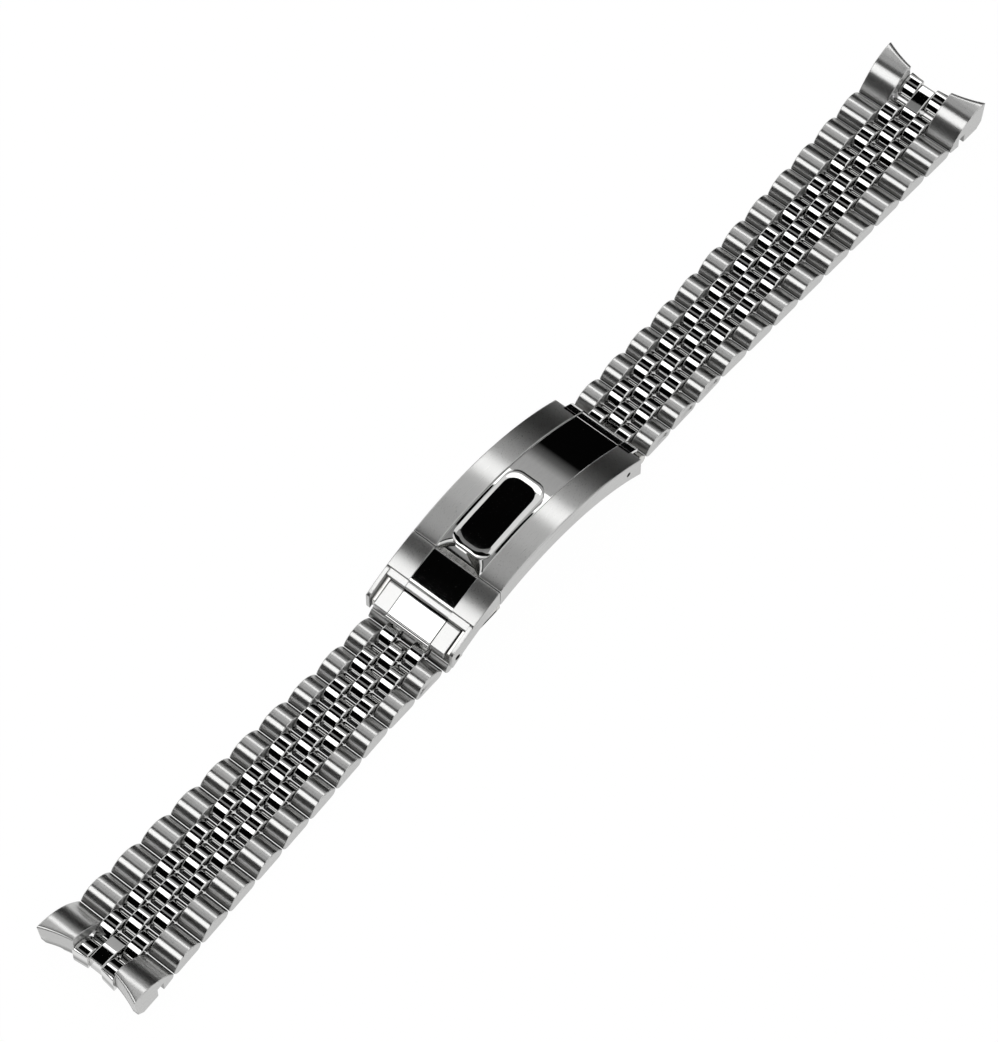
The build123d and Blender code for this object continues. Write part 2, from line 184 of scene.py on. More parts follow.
def angle_bar(low: float, high: float, wall: float, thickness: float, depth: float,
              radius: Sequence[float]) -> np.ndarray:
    """An L-shaped (y, depth) outline: a plate from low to high, a wall from wall to high."""
    return rounded([(low, 0), (high, 0), (high, depth), (wall, depth), (wall, thickness),
                    (low, thickness)], radius)


def inset(loops: np.ndarray, amount: np.ndarray | float) -> np.ndarray:
    """Moves closed loops inwards, each point along the mitre of its two sides.

    Args:
        loops: points (..., points in a loop, 2), inside on the left.
        amount: how far, one value or one for each loop.

    Returns:
        The moved loops.
    """
    side = np.roll(loops, -1, -2) - loops
    side = side / np.maximum(np.linalg.norm(side, axis=-1, keepdims=True), 1e-9)
    normal = paired(-side[..., 1], side[..., 0])
    normal_before = np.roll(normal, 1, -2)
    cosine = np.sum(normal * normal_before, -1, keepdims=True)
    mitre = (normal + normal_before) / np.maximum(1 + cosine, 0.3)
    return loops + amount * mitre


def edge_steps(edge: float, steps: int) -> tuple[np.ndarray, np.ndarray]:
    """A quarter circle at an edge: how far its points are drawn in, and how far along they lie."""
    angle = np.linspace(0, math.pi / 2, steps + 1)
    return edge * (1 - np.sin(angle)), edge * (1 - np.cos(angle))


def at(span: Span, places: np.ndarray) -> np.ndarray:
    """The value of a span, which is a number or a function of place."""
    return span(places) if callable(span) else np.full_like(places, span)


def prism(outline: np.ndarray, low: Span, high: Span, edge: float = 0.15, steps: int = 3) -> Shell:
    """A prism across the bracelet with rounded end edges.

    The (x, z) outline is carried along y. Near each end it is drawn in by edge (1 - sin a) while
    y runs edge (1 - cos a), which is a quarter circle.

    Args:
        outline: closed (x, z) outline, inside on the left.
        low: y of the right end, a number or a function of x.
        high: y of the left end, a number or a function of x.
        edge: radius of the end edges.
        steps: steps in each edge.

    Returns:
        The prism.
    """
    drawn, along = edge_steps(edge, steps)
    loops = inset(outline[None], np.concatenate([drawn, drawn[::-1]])[:, None, None])
    x, z = loops[..., 0], loops[..., 1]
    half = steps + 1
    y = np.concatenate([at(low, x[:half]) + along[:, None],
                        at(high, x[half:]) - along[::-1, None]])
    return loft(paired(x, y, z))


def bored(rings: np.ndarray, centre: tuple[float, float], radius: float, depth: float,
          side: int) -> Shell:
    """Lofts rings across the bracelet and sinks a round seat into their last end.

    The last ring is joined to a circle, whose points lie in the directions of the ring's own
    points from the seat's middle, and the circle is repeated at the seat's depth.

    Args:
        rings: rings as for loft.
        centre: (x, z) of the seat's middle.
        radius: the seat's radius.
        depth: the seat's depth.
        side: +1 where the last end looks to +Y, -1 where it looks to -Y.

    Returns:
        The shell with its seat.
    """
    last = rings[-1]
    middle = np.array([centre[0], 0, centre[1]])
    offset = (last - middle) * (1, 0, 1)
    circle = middle + radius * offset / np.linalg.norm(offset, axis=1, keepdims=True)
    circle[:, 1] = last[:, 1].min() if side < 0 else last[:, 1].max()
    seat = circle - np.array([0, side * depth, 0])
    return loft(np.concatenate([rings, circle[None], seat[None]]))


def rod(x: float, z: float, radius: float, low: float, high: float, points: int = 20) -> Shell:
    """A round rod across the bracelet, its ends just broken."""
    turn = np.linspace(0, 2 * math.pi, points, endpoint=False)
    circle = paired(x + radius * np.cos(turn), z + radius * np.sin(turn))
    return prism(circle, low, high, 0.08, 2)


# ---------------------------------------------------------------- nodes and objects


def linear(code: str) -> tuple[float, float, float, float]:
    """Turns an sRGB hex code to a linear colour.

    Each channel c becomes c / 12.92 up to 0.04045, and ((c + 0.055) / 1.055)^2.4 above it.
    """
    channels = np.array([int(code[i:i + 2], 16) for i in (1, 3, 5)]) / 255
    value = np.where(channels <= 0.04045, channels / 12.92, ((channels + 0.055) / 1.055) ** 2.4)
    return (*value.tolist(), 1.0)


def fresh_tree(block: bpy.types.Material | bpy.types.World) -> bpy.types.NodeTree:
    """Turns on the nodes of a material or world, and clears them."""
    block.use_nodes = True
    block.node_tree.nodes.clear()
    return block.node_tree


def add_node(tree: bpy.types.NodeTree, kind: str, inputs: dict[str | int, object] | None = None,
             **settings: object) -> bpy.types.Node:
    """Adds a node with its settings, input values and links.

    Args:
        tree: the node tree.
        kind: the node's type name.
        inputs: value or source socket for each named or numbered input.
        settings: the node's own properties.

    Returns:
        The new node.
    """
    node = tree.nodes.new(kind)
    for name, value in settings.items():
        setattr(node, name, value)
    for socket, value in (inputs or {}).items():
        if isinstance(value, bpy.types.NodeSocket):
            tree.links.new(value, node.inputs[socket])
        else:
            node.inputs[socket].default_value = value
    return node


def reckoned(tree: bpy.types.NodeTree, operation: str, *values: object) -> bpy.types.NodeSocket:
    """The result of a math node on values or sockets."""
    return add_node(tree, "ShaderNodeMath", dict(enumerate(values)),
                    operation=operation).outputs["Value"]


def ramp(tree: bpy.types.NodeTree, factor: bpy.types.NodeSocket, low: tuple[float, str],
         high: tuple[float, str]) -> bpy.types.NodeSocket:
    """A colour ramp over a factor, between two stops of a place and a hex colour each."""
    node = add_node(tree, "ShaderNodeValToRGB", {"Fac": factor})
    for element, (place, code) in zip(node.color_ramp.elements, (low, high)):
        element.position = place
        element.color = linear(code)
    return node.outputs["Color"]


def looked_at(tree: bpy.types.NodeTree) -> bpy.types.NodeSocket:
    """1 for rays of sight, straight, mirrored or through something, and 0 for light."""
    ray = add_node(tree, "ShaderNodeLightPath").outputs
    sight = reckoned(tree, "MAXIMUM", ray["Is Camera Ray"], ray["Is Glossy Ray"])
    return reckoned(tree, "MAXIMUM", sight, ray["Is Transmission Ray"])


def placed(name: str, data: bpy.types.ID) -> bpy.types.Object:
    """A new object in the scene."""
    thing = bpy.data.objects.new(name, data)
    bpy.context.scene.collection.objects.link(thing)
    return thing


# ---------------------------------------------------------------- finishes


@dataclass(frozen=True)
class SteelFinish:
    """Stainless steel with fine lines from its last abrasive.

    grain is the spacing of the lines and length their length, in mm. Real lines are finer than a
    pixel of the view, so they are drawn as coarse as they need to be to show. bump is their depth
    in mm. spread is how far the lines stretch a reflection across themselves, from 0, evenly, to
    1. The foot shade is painted shade: the share of its tone that the steel keeps at the links'
    feet, where the valleys between the rows fall in shade, and its band the heights in mm between
    which the painted shade fades out. patches is how many soft patches a metre has.
    """

    name: str
    slot: Slot
    pale: str
    deep: str
    roughness: tuple[float, float]
    grain: float
    length: float
    bump: float
    spread: float = 0.0
    direction: Grain = Grain.ALONG
    # painted shade at the links' feet, and the heights over which it fades out
    foot_shade: float = 1.0
    foot_shade_band: tuple[float, float] = (1.3, 2.4)
    patches: float = 140.0
    patch_share: float = 0.35

    def shade(self, tree: bpy.types.NodeTree, place: bpy.types.NodeSocket) -> bpy.types.NodeSocket:
        """How much of its tone the steel keeps: painted shade at the links' feet, all of it above.

        The valleys between the links fall in shade, and this darkening paints that shade. Faces
        that look sideways keep their tone, so the share is the larger of the height's and the
        sideways look's.
        """
        height = add_node(tree, "ShaderNodeSeparateXYZ", {"Vector": place}).outputs["Z"]
        kept = add_node(tree, "ShaderNodeMapRange",
                        {"Value": height, "From Min": self.foot_shade_band[0] * MM,
                         "From Max": self.foot_shade_band[1] * MM, "To Min": self.foot_shade,
                         "To Max": 1.0}).outputs["Result"]
        normal = add_node(tree, "ShaderNodeNewGeometry").outputs["Normal"]
        side = add_node(tree, "ShaderNodeSeparateXYZ", {"Vector": normal}).outputs["Y"]
        return reckoned(tree, "MAXIMUM", kept, reckoned(tree, "ABSOLUTE", side))

    def across_lines(self, tree: bpy.types.NodeTree) -> bpy.types.NodeSocket:
        """The direction across the lines: the surface's normal crossed with the lines' own."""
        turned = add_node(tree, "ShaderNodeVectorTransform", {"Vector": self.direction.value},
                          vector_type="VECTOR", convert_from="OBJECT", convert_to="WORLD")
        normal = add_node(tree, "ShaderNodeNewGeometry").outputs["Normal"]
        return add_node(tree, "ShaderNodeVectorMath", {0: normal, 1: turned.outputs["Vector"]},
                        operation="CROSS_PRODUCT").outputs["Vector"]

    def material(self) -> bpy.types.Material:
        """Builds the finish's material.

        Returns:
            The node-based material.
        """
        made = bpy.data.materials.new(self.name)
        tree = fresh_tree(made)
        place = add_node(tree, "ShaderNodeTexCoord").outputs["Object"]
        fine, long = 1 / (self.grain * MM), 1 / (self.length * MM)
        scale = (long, fine, fine) if self.direction is Grain.ALONG else (fine, long, fine)
        lines = add_node(tree, "ShaderNodeMapping", {"Vector": place, "Scale": scale})
        grain = add_node(tree, "ShaderNodeTexNoise",
                         {"Vector": lines.outputs["Vector"], "Scale": 1.0, "Detail": 3.0,
                          "Roughness": 0.6}).outputs["Fac"]
        cloud = add_node(tree, "ShaderNodeTexNoise",
                         {"Vector": place, "Scale": self.patches, "Detail": 2.0}).outputs["Fac"]
        mixed = reckoned(tree, "MULTIPLY_ADD", cloud, self.patch_share, grain)
        colour = ramp(tree, mixed, (0.3, self.deep), (1.0, self.pale))
        # painted shade: the colour is darkened towards the links' feet, where the rows shade each
        # other
        if self.foot_shade < 1:
            colour = add_node(tree, "ShaderNodeVectorMath",
                              {0: colour, 3: self.shade(tree, place)},
                              operation="SCALE").outputs["Vector"]
        rough = add_node(tree, "ShaderNodeMapRange",
                         {"Value": grain, "From Min": 0.3, "From Max": 0.7,
                          "To Min": self.roughness[0],
                          "To Max": self.roughness[1]}).outputs["Result"]
        bump = add_node(tree, "ShaderNodeBump",
                        {"Height": grain, "Strength": 1.0,
                         "Distance": self.bump * MM}).outputs["Normal"]
        shader = add_node(tree, "ShaderNodeBsdfPrincipled",
                          {"Base Color": colour, "Metallic": 1.0, "Roughness": rough,
                           "Normal": bump, "Anisotropic": self.spread,
                           "Tangent": self.across_lines(tree)})
        add_node(tree, "ShaderNodeOutputMaterial", {"Surface": shader.outputs["BSDF"]})
        return made


@dataclass
class Wardrobe:
    """The bracelet's finishes, each made once."""

    # Type 316L steel, satin brushed along the bracelet: soft grey with a long gradient, and painted
    # shade at the links' feet
    brushed: SteelFinish = SteelFinish(
        "steel_316l_satin_brushed", Slot.BRUSHED, "#C9C9C8", "#BFBFBE", (0.27, 0.30), 0.1, 8.0,
        0.0003, 0.96, foot_shade=0.45)
    # The same steel buffed to a mirror: it shows the studio, hardly any line of its own, and
    # painted shade at the links' feet
    polished: SteelFinish = SteelFinish(
        "steel_316l_mirror_polished", Slot.POLISHED, "#D6D6D5", "#CECECD", (0.03, 0.05), 0.5, 3.0,
        0.0001, foot_shade=0.3)
    # Drawn and turned steel of the pins: fine rings round them, a little darker
    turned: SteelFinish = SteelFinish(
        "steel_pin_turned", Slot.PIN, "#BDBCB9", "#A4A3A0", (0.28, 0.34), 0.12, 1.2, 0.0006, 0.6,
        Grain.ACROSS)
    # Pressed sheet steel of the folding leaves, tumbled bright
    pressed: SteelFinish = SteelFinish(
        "steel_sheet_tumbled", Slot.BRUSHED, "#CBCAC7", "#B4B3B0", (0.18, 0.26), 0.3, 2.0, 0.0005,
        0.3)
    made: dict[str, bpy.types.Material] = field(default_factory=dict)

    def wear(self, finish: SteelFinish) -> bpy.types.Material:
        """The finish's material, made when it is first asked for."""
        if finish.name not in self.made:
            self.made[finish.name] = finish.material()
        return self.made[finish.name]


@dataclass
class Workshop:
    """Turns shells into dressed pieces that ride on the part's bodies."""

    wardrobe: Wardrobe = field(default_factory=Wardrobe)
    flat_weight: int = 60

    def piece(self, name: str, shells: Sequence[Shell], finish: SteelFinish, body: str,
              main: bool = False) -> None:
        """Makes a piece.

        Args:
            name: the piece's name.
            shells: its surfaces, in millimetres.
            finish: its finish.
            body: the CAD body that it rides on.
            main: True where it stands for the body's CAD node.
        """
        shell = joined(shells)
        mesh = bpy.data.meshes.new(name)
        mesh.from_pydata((shell.points * MM).tolist(), [], shell.faces)
        work = bmesh.new()
        work.from_mesh(mesh)
        bmesh.ops.remove_doubles(work, verts=work.verts, dist=MERGE)
        bmesh.ops.dissolve_degenerate(work, edges=work.edges, dist=MERGE)
        bmesh.ops.recalc_face_normals(work, faces=work.faces)
        work.to_mesh(mesh)
        work.free()
        mesh.shade_smooth()
        mesh.materials.append(self.wardrobe.wear(finish))
        thing = placed(name, mesh)
        thing.modifiers.new("even_shading", "WEIGHTED_NORMAL").weight = self.flat_weight
        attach(thing, body)
        if main:
            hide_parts(body)
        LOG.info("%s: %d points on %s", name, len(mesh.vertices), body)

    def dress(self, node: bpy.types.Object, finish: SteelFinish) -> None:
        """Gives a carried-over CAD node its finish."""
        for slot in node.material_slots:
            slot.material = self.wardrobe.wear(finish)


# ---------------------------------------------------------------- strands


@dataclass(frozen=True)
class LinkShape:
    """Side view of a link piece, and the columns of the five rows.

    Its top is one arc of the crown radius whose highest point is at the height. Its lower ends
    are quarter ellipses from where that arc ends to the flat foot.
    """

    pitch: float = 6.6
    height: float = 3.15
    reach: float = 3.22
    crown_radius: float = 3.65
    foot: float = 2.2
    foot_steps: int = 6
    crown_steps: int = 16
    pin_height: float = 1.5
    pin_radius: float = 0.48
    centre_half: float = 1.35
    bead_inner: float = 1.43
    bead_outer: float = 4.13
    block_inner: float = 4.21
    pin_wall: float = 0.8

    @property
    def pin_offset(self) -> float:
        """Distance of each pin from the link's middle."""
        return self.pitch / 4

    def crown(self, x: np.ndarray | float) -> np.ndarray:
        """Height of the crown's arc at x from the piece's middle."""
        return self.height - self.crown_radius + np.sqrt(self.crown_radius ** 2 - np.square(x))

    def side(self, x: float, sign: int = 1, left_out: int = 0) -> np.ndarray:
        """One end of a piece, from its foot round the end up to the crown's middle.

        Args:
            x: the piece's middle.
            sign: +1 for the end towards +X, -1 for the other one.
            left_out: how many points before the crown's middle are left out.

        Returns:
            The (x, z) points.
        """
        waist = float(self.crown(self.reach))
        low = np.linspace(-math.pi / 2, 0, self.foot_steps, endpoint=False)
        lower = paired(self.foot + (self.reach - self.foot) * np.cos(low),
                       waist + waist * np.sin(low))
        lean = np.linspace(math.asin(self.reach / self.crown_radius), 0, self.crown_steps)
        over = self.crown_radius * np.sin(lean)
        points = np.concatenate([lower, paired(over, self.crown(over))])
        return points[:len(points) - left_out] * (sign, 1) + (x, 0)

    def outline(self, x: float) -> np.ndarray:
        """The whole closed (x, z) outline of a piece whose middle is at x."""
        return np.concatenate([self.side(x), self.side(x, -1, 1)[::-1]])

    def lugs(self, outline: np.ndarray, half: float, edge: float) -> list[Shell]:
        """Three lugs of one (x, z) outline, in the columns of the blocks and the centre."""
        return [*both_sides(prism(outline, self.block_inner, half, edge)),
                prism(outline, -self.centre_half, self.centre_half, edge)]


@dataclass
class Strand:
    """A strand of links and bead pairs, numbered from the case end.

    start is the x of its clasp end, direction the way from there to the case. tapered is how many
    of its count links taper, and screws how many have a screw for sizing.
    """

    shop: Workshop
    name: str
    start: float
    direction: int
    count: int
    tapered: int
    screws: int
    shape: LinkShape = LinkShape()
    end_length: float = 9.0
    lug_width: float = 20.0
    clasp_width: float = 15.1
    edge: float = 0.22
    bead_edge: float = 0.28
    screw_radius: float = 0.46
    screw_length: float = 0.3
    screw_seat: float = 0.14
    seat_radius: float = 0.52
    seat_depth: float = 0.28
    slot_angle: float = 0.3

    @property
    def joint(self) -> float:
        """The x where its last link meets the end link."""
        return self.start + self.direction * self.count * self.shape.pitch

    def half_width(self, x: np.ndarray) -> np.ndarray:
        """Half the strand's width at x: a straight taper from the lugs, then even."""
        case = self.joint + self.direction * self.end_length
        length = self.end_length + self.tapered * self.shape.pitch
        share = np.minimum(np.abs(case - x) / length, 1)
        return self.lug_width / 2 + share * (self.clasp_width - self.lug_width) / 2

    def place(self, number: float) -> float:
        """The middle x of a link, counted from the case end."""
        return self.start + self.direction * (self.count - number + 0.5) * self.shape.pitch

    def outer_blocks(self, x: float, screw: bool) -> list[Shell]:
        """The two brushed blocks of a link, the right one with a screw's seat on sized links."""
        shape = self.shape
        outline = shape.outline(x)
        left = prism(outline, shape.block_inner, self.half_width, self.edge)
        if not screw:
            return both_sides(left)
        rings = left.points.reshape(-1, len(outline), 3) * (1, -1, 1)
        seat = (x + self.direction * shape.pin_offset, shape.pin_height)
        return [left, bored(rings, seat, self.seat_radius, self.seat_depth, -1)]

    def screw_head(self, x: float) -> list[Shell]:
        """A slotted screw head: two half discs with the slot between them."""
        pin = x + self.direction * self.shape.pin_offset
        face = float(-self.half_width(np.array(pin)) + self.screw_seat)
        turn = np.linspace(self.slot_angle, math.pi - self.slot_angle, 9)
        arc = self.screw_radius * paired(np.cos(turn), np.sin(turn))
        heads = [counter_clockwise(arc * sign + (pin, self.shape.pin_height)) for sign in (1, -1)]
        return [prism(head, face, face + self.screw_length, 0.04, 1) for head in heads]

    def link(self, number: int) -> None:
        """Builds one link: blocks, centre piece and pins."""
        shop, shape, body = self.shop, self.shape, f"{self.name}_link_{number:02d}"
        x = self.place(number)
        screw = number > self.count - self.screws
        shop.piece(f"{body}_outer_blocks", self.outer_blocks(x, screw), shop.wardrobe.brushed,
                   body, main=True)
        centre = prism(shape.outline(x), -shape.centre_half, shape.centre_half, self.bead_edge)
        shop.piece(f"{body}_centre_piece", [centre], shop.wardrobe.polished, body)
        reach = float(self.half_width(np.array(x)) - shape.pin_wall)
        pins = [rod(x + side * shape.pin_offset, shape.pin_height, shape.pin_radius, -reach,
                    reach, 12) for side in (-1, 1)]
        pins += self.screw_head(x) if screw else []
        shop.piece(f"{body}_pins", pins, shop.wardrobe.turned, body)

    def beads(self, number: int) -> None:
        """Builds the bead pair on the case side of link number, numbered as the part's bodies."""
        shop, shape, body = self.shop, self.shape, f"{self.name}_beads_{number:02d}"
        outline = shape.outline(self.place(number - 0.5))
        bead = prism(outline, shape.bead_inner, shape.bead_outer, self.bead_edge)
        shop.piece(f"{body}_pair", both_sides(bead), shop.wardrobe.polished, body, main=True)

    def build(self) -> None:
        """Builds every link and bead pair."""
        for number in range(1, self.count + 1):
            self.link(number)
        for number in range(1, self.count + 2):
            self.beads(number)


# ---------------------------------------------------------------- end links


@dataclass
class EndLink:
    """A solid end link: two horns that rise to the watch case, and polished forms between them.

    Its own frame has x 0 at the joint with the strand and runs to the case at its length.
    """

    shop: Workshop
    body: str
    start: float
    direction: int
    shape: LinkShape = LinkShape()
    length: float = 9.0
    lug_half: float = 10.0
    joint_half: float = 9.67
    case_radius: float = 23.0
    edge: float = 0.16
    horn_height: float = 6.0
    horn_start: float = 0.45
    horn_power: float = 2.6
    rim_width: float = 0.8
    rim_drop: float = 0.2
    tip_setback: float = 0.1
    tip_drop: float = 0.5
    side_height: float = 1.2
    side_setback: float = 0.5
    foot_start: float = 3.8
    foot_end: float = 7.3
    foot_setback: float = 0.3
    arch_start: float = 2.5
    arch_top: float = 2.1
    tongue_reach: float = 0.1
    tongue_edge: float = 0.2
    bead_start: float = 3.43
    bead_rise: float = 0.75
    bead_reach: float = 0.5
    bead_gap: float = 0.04
    bead_edge: float = 0.25

    @property
    def near(self) -> float:
        """The middle of a link piece whose end makes the joint."""
        return self.shape.pitch / 2

    def world(self, shell: Shell) -> Shell:
        """Puts a shell from the end link's own frame into the bracelet's."""
        return Shell(shell.points * (self.direction, self.direction, 1) + (self.start, 0, 0),
                     shell.faces)

    def case_line(self, y: np.ndarray, reach: float = 0.0) -> np.ndarray:
        """How far out the end link reaches at y: a circle round the watch's middle."""
        middle = self.length + math.sqrt(self.case_radius ** 2 - self.lug_half ** 2)
        return middle - np.sqrt((self.case_radius - reach) ** 2 - y ** 2)

    def top(self, x: np.ndarray, case: np.ndarray) -> np.ndarray:
        """Height of the horn's top at x, where the case's edge lies at case.

        It rises as 1 - (1 - p)^power over the share p of the horn's length, steep at the joint
        and level at the case, and drops as a square over the rim's width before the case.
        """
        foot = float(self.shape.crown(self.horn_start - self.near))
        part = np.clip((x - self.horn_start) / (self.length - self.horn_start), 0, 1)
        rise = (self.horn_height - foot) * (1 - (1 - part) ** self.horn_power)
        rim = np.clip((x - case) / self.rim_width + 1, 0, 1)
        return foot + rise - self.rim_drop * rim ** 2

    def horn(self) -> Shell:
        """One horn, on the left: its side outline changes with y where the case hollows it."""
        drawn, along = edge_steps(self.edge, 3)
        inner, outer = self.shape.block_inner, self.lug_half
        between = np.linspace(inner, outer, 17)[1:-1]
        y = np.concatenate([inner + along, between, outer - along[::-1]])
        amounts = np.concatenate([drawn, np.zeros(len(between)), drawn[::-1]])
        rows, case = len(y), self.case_line(y)
        roll = self.shape.side(self.near, -1)
        roll = roll[roll[:, 0] < self.horn_start - 0.05]
        top_x = self.horn_start + (case[:, None] - self.horn_start) * np.linspace(0, 1, 40)
        top = paired(top_x, self.top(top_x, case[:, None]))
        tip = top[:, -1, 1]
        side_x = np.minimum(case, self.length - self.side_setback)
        foot_x = np.minimum(case - self.foot_setback, self.foot_end)
        flank = paired(paired(case - self.tip_setback, (case + side_x) / 2, side_x, foot_x),
                       paired(tip - self.tip_drop, (tip + self.side_height) / 2,
                              self.side_height, 0))
        arch = np.array([(self.foot_start, 0), (self.foot_start, self.arch_top),
                         (self.arch_start, self.arch_top), (self.arch_start, 0)])
        loops = np.concatenate([np.broadcast_to(roll, (rows, *roll.shape)), top, flank,
                                np.broadcast_to(arch, (rows, 4, 2))], 1)[:, ::-1]
        loops = inset(loops, amounts[:, None, None])
        x, z = loops[..., 0], loops[..., 1]
        side = outer - (outer - self.joint_half) * np.clip(1 - x / self.length, 0, 1)
        width = inner + (y[:, None] - inner) * (side - inner) / (outer - inner)
        return loft(paired(x, width, z))

    def to_case(self, shell: Shell, reach: float) -> Shell:
        """Draws a shell's case end back to the case's circle."""
        points = shell.points.copy()
        points[:, 0] = np.minimum(points[:, 0], self.case_line(points[:, 1], reach))
        return Shell(points, shell.faces)

    def middle_forms(self) -> list[Shell]:
        """The polished forms between the horns: the centre tongue and two fixed beads."""
        shape = self.shape
        x = np.linspace(self.bead_start, self.length, 16)
        rise = shape.crown((x - x[0] - shape.reach + self.bead_reach) / 2)
        tongue = counter_clockwise(np.concatenate([
            shape.side(self.near, -1, 6), paired(x, rise + self.bead_rise / 2),
            [(self.length, 0)]]))
        centre = prism(tongue, -shape.centre_half, shape.centre_half, self.tongue_edge)
        bead = shape.outline(self.bead_start + shape.reach)
        bead[:, 1] = np.where(bead[:, 1] > 0.01, bead[:, 1] + self.bead_rise, 0)
        pair = both_sides(prism(bead, shape.centre_half + self.bead_gap, shape.block_inner - 0.05,
                                self.bead_edge))
        return [self.to_case(centre, self.tongue_reach),
                *(self.to_case(form, self.bead_reach) for form in pair)]

    def build(self) -> None:
        """Builds the horns, the middle forms and the pin."""
        shape, wear = self.shape, self.shop.wardrobe
        reach = self.joint_half - shape.pin_wall
        pin = rod(shape.pin_offset, shape.pin_height, shape.pin_radius + 0.02, -reach, reach, 12)
        for name, shells, finish in (("horns", both_sides(self.horn()), wear.brushed),
                                     ("middle_forms", self.middle_forms(), wear.polished),
                                     ("pin", [pin], wear.turned)):
            self.shop.piece(f"{self.body}_{name}", [self.world(shell) for shell in shells],
                            finish, self.body, main=name == "horns")


# ---------------------------------------------------------------- clasp


@dataclass(frozen=True)
class Arch:
    """The clasp's arched line: a circle whose top is at (middle, height)."""

    radius: float = 48.0
    height: float = 12.0015
    middle: float = -8.2

    def z(self, depth: np.ndarray | float, x: np.ndarray | float) -> np.ndarray:
        """Height at x of the line a depth under the cover's top."""
        radius = self.radius - np.asarray(depth, float)
        return self.height - self.radius + np.sqrt(radius ** 2 - (np.asarray(x) - self.middle) ** 2)

    def carried(self, section: np.ndarray, low: Span, high: Span, edge: float,
                stations: int, steps: int = 3) -> Shell:
        """Carries a closed (y, depth) section along the arch, with rounded end edges.

        Args:
            section: outline in y and depth.
            low: x of the lower end, a number or a function of y.
            high: x of the upper end, a number or a function of y.
            edge: radius of the end edges.
            stations: stations along the arch.
            steps: steps in each end edge.

        Returns:
            The closed shell.
        """
        drawn, along = edge_steps(edge, steps)
        part = np.linspace(0, 1, stations)[1:-1]
        amounts = np.concatenate([drawn, np.zeros(len(part)), drawn[::-1]])
        loops = inset(counter_clockwise(section)[None], amounts[:, None, None])
        y, depth = loops[..., 0], loops[..., 1]
        share = np.concatenate([np.zeros(steps + 1), part, np.ones(steps + 1)])[:, None]
        room = np.concatenate([along, np.full(len(part), edge), along[::-1]])[:, None]
        start, end = at(low, y), at(high, y)
        x = start + room + (end - start - 2 * room) * share
        return loft(paired(x, y, self.z(depth, x)))

    def frame_plate(self, outer: np.ndarray, inner: np.ndarray, top: float, bottom: float,
                    edge: float = 0.04) -> Shell:
        """A curved plate with a window: a rounded section carried round between two outlines.

        Each point of the section is a share between the outer (x, y) outline and the inner one,
        and a depth.

        Args:
            outer: the plate's (x, y) outline.
            inner: the window's outline, with as many points.
            top: depth of the plate's upper face.
            bottom: depth of its lower face.
            edge: size of its edges, in depth and in share.

        Returns:
            The closed shell.
        """
        section = rounded([(0, top), (0, bottom), (1, bottom), (1, top)], edge, 2)
        share, depth = section[None, :, :1], section[None, :, 1]
        place = outer[:, None] * (1 - share) + inner[:, None] * share
        return loft(np.concatenate([place, self.z(depth, place[..., 0])[..., None]], -1),
                    ring_path=True)


ARCH = Arch()


def box_line(x_low: float, x_high: float, half: float, radius: float,
             count: int = 96) -> np.ndarray:
    """A rounded rectangle's (x, y) outline with evenly shared points.

    Args:
        x_low: its lower end.
        x_high: its upper end.
        half: half its width.
        radius: its corner radius.
        count: number of points, starting at the middle of the upper end.

    Returns:
        The points, inside on the left.
    """
    quarter = count // 4
    turn = np.linspace(0, math.pi / 2, quarter // 2)
    straight = quarter - len(turn)
    arc = paired(x_high - radius + radius * np.cos(turn), half - radius + radius * np.sin(turn))
    side = np.linspace(0, half - radius, straight // 2, endpoint=False)
    end = paired(x_high, side)
    middle = (x_low + x_high) / 2
    rest = np.linspace(x_high - radius, middle, straight - len(side) + 1)[1:]
    run = paired(rest, half)
    first = np.concatenate([end, arc, run])
    second = (first * (-1, 1))[::-1][1:-1] + (2 * middle, 0)
    upper = np.concatenate([first, second, [[x_low, 0]]])
    lower = (upper * (1, -1))[::-1][1:-1]
    return np.concatenate([upper, lower])


